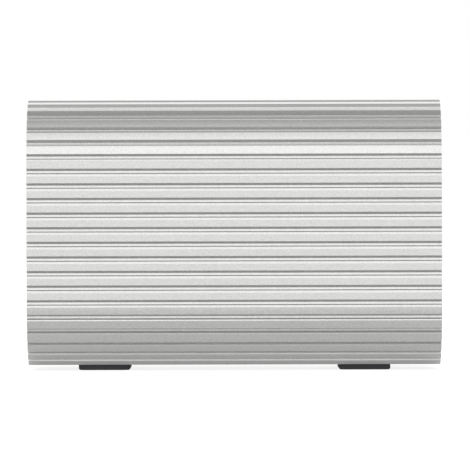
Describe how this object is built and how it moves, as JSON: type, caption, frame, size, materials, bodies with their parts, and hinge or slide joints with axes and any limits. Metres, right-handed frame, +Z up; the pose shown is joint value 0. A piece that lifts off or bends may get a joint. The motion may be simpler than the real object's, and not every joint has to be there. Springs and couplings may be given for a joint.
{
  "type": "portable power inverter",
  "caption": "Silver ribbed extruded tube on rubber feet, with AC outlets, a rocker switch and lamps in one recessed end and a fan, DC socket and ground screw in the other.",
  "frame": {"origin": "centre of the footprint, in the plane of the feet's soles", "axes": "+X along the extruded body towards the AC outlet end, +Y across it, +Z up"},
  "size_m": [0.155, 0.0798, 0.1018],
  "materials": {
    "anodised": "satin clear-anodised extrusion with a fine blasted grain",
    "panel": "black powder coat, slightly textured",
    "rubber": "matt moulded rubber",
    "zinc_screw": "bright zinc plate",
    "outlet": "moulded black thermoplastic",
    "cover": "moulded black thermoplastic",
    "brass": "bare stamped brass",
    "switch_case": "fine-textured black nylon",
    "rocker": "glossy black with white on and off symbols",
    "tinned": "tinned contact",
    "green_lamp": "diffused green lens",
    "red_lamp": "diffused red lens",
    "laminate": "green solder mask on glass laminate",
    "fan_plastic": "black moulded plastic",
    "bearing": "sintered bronze",
    "steel": "ground steel",
    "magnet": "bonded ferrite",
    "lamination": "stacked silicon steel",
    "wire_guard": "bright plated wire",
    "inlet": "black glass-filled nylon",
    "tin_pin": "tin-plated copper",
    "red_wire": "red vinyl insulation",
    "black_wire": "black vinyl insulation",
    "white_wire": "white vinyl insulation",
    "green_wire": "green vinyl insulation",
    "grey_wire": "grey vinyl insulation",
    "header": "natural nylon",
    "chip": "black epoxy package",
    "holder": "black fuse holder",
    "fuse": "translucent yellow fuse body",
    "sleeve": "dark sleeve on an aluminium can",
    "ferrite": "dark ground ferrite",
    "bobbin": "phenolic moulding",
    "tape": "yellow polyester tape over the coil",
    "copper": "enamelled copper",
    "powder_core": "painted powder core",
    "epoxy": "black moulded epoxy with a tinned tab",
    "silicone": "grey silicone pad",
    "foam": "charcoal open-celled polyurethane foam",
    "spring": "spring steel strip"
  },
  "bodies": {
    "case": {"intake_filters": "foam", "housing": "anodised", "foot_front_left": "rubber", "foot_front_right": "rubber", "foot_rear_left": "rubber", "foot_rear_right": "rubber", "front_panel": "panel", "rear_panel": "panel", "front_panel_screws": "zinc_screw", "rear_panel_screws": "zinc_screw", "outlet_upper_shell": "outlet", "outlet_lower_shell": "outlet", "outlet_upper_cover": "cover", "outlet_lower_cover": "cover", "line_strip": "brass", "neutral_strip": "brass", "earth_strip": "brass", "line_lead": "black_wire", "neutral_lead": "white_wire", "earth_lead": "green_wire", "switch_housing": "switch_case", "switch_terminals": "tinned", "power_lamp": "green_lamp", "fault_lamp": "red_lamp", "lamp_board": "laminate", "signal_leads": "grey_wire", "fan_frame": "fan_plastic", "fan_bearing": "bearing", "fan_stator": "lamination", "fan_guard": "wire_guard", "fan_screws": "zinc_screw", "inlet_shroud": "inlet", "inlet_positive_pin": "tin_pin", "inlet_negative_pin": "tin_pin", "inlet_screws": "zinc_screw", "positive_lead": "red_wire", "negative_lead": "black_wire", "ground_screw": "zinc_screw", "ground_washer": "steel", "main_board": "laminate", "control_board": "laminate", "board_headers": "header", "control_chips": "chip", "fuse_holders": "holder", "fuses": "fuse", "input_capacitors": "sleeve", "output_capacitor": "sleeve", "transformer_core": "ferrite", "transformer_bobbin": "bobbin", "transformer_winding": "tape", "choke_core": "powder_core", "choke_winding": "copper", "buzzer": "chip", "power_transistors": "epoxy", "thermal_pads": "silicone", "transistor_clips": "spring"},
    "fan_rotor": {"fan_rotor": "fan_plastic", "fan_shaft": "steel", "fan_magnet": "magnet"},
    "switch_rocker": {"switch_rocker": "rocker"}
  },
  "joints": [
    {"name": "fan_spin", "type": "hinge", "parent": "case", "child": "fan_rotor", "pos_m": [-0.0725, 0, 0.0735], "axis": [-1, 0, 0], "continuous": true},
    {"name": "rocker_tilt", "type": "hinge", "parent": "case", "child": "switch_rocker", "pos_m": [0.0695, 0.0215, 0.036], "axis": [0, -1, 0], "range_deg": [0, 16]}
  ]
}
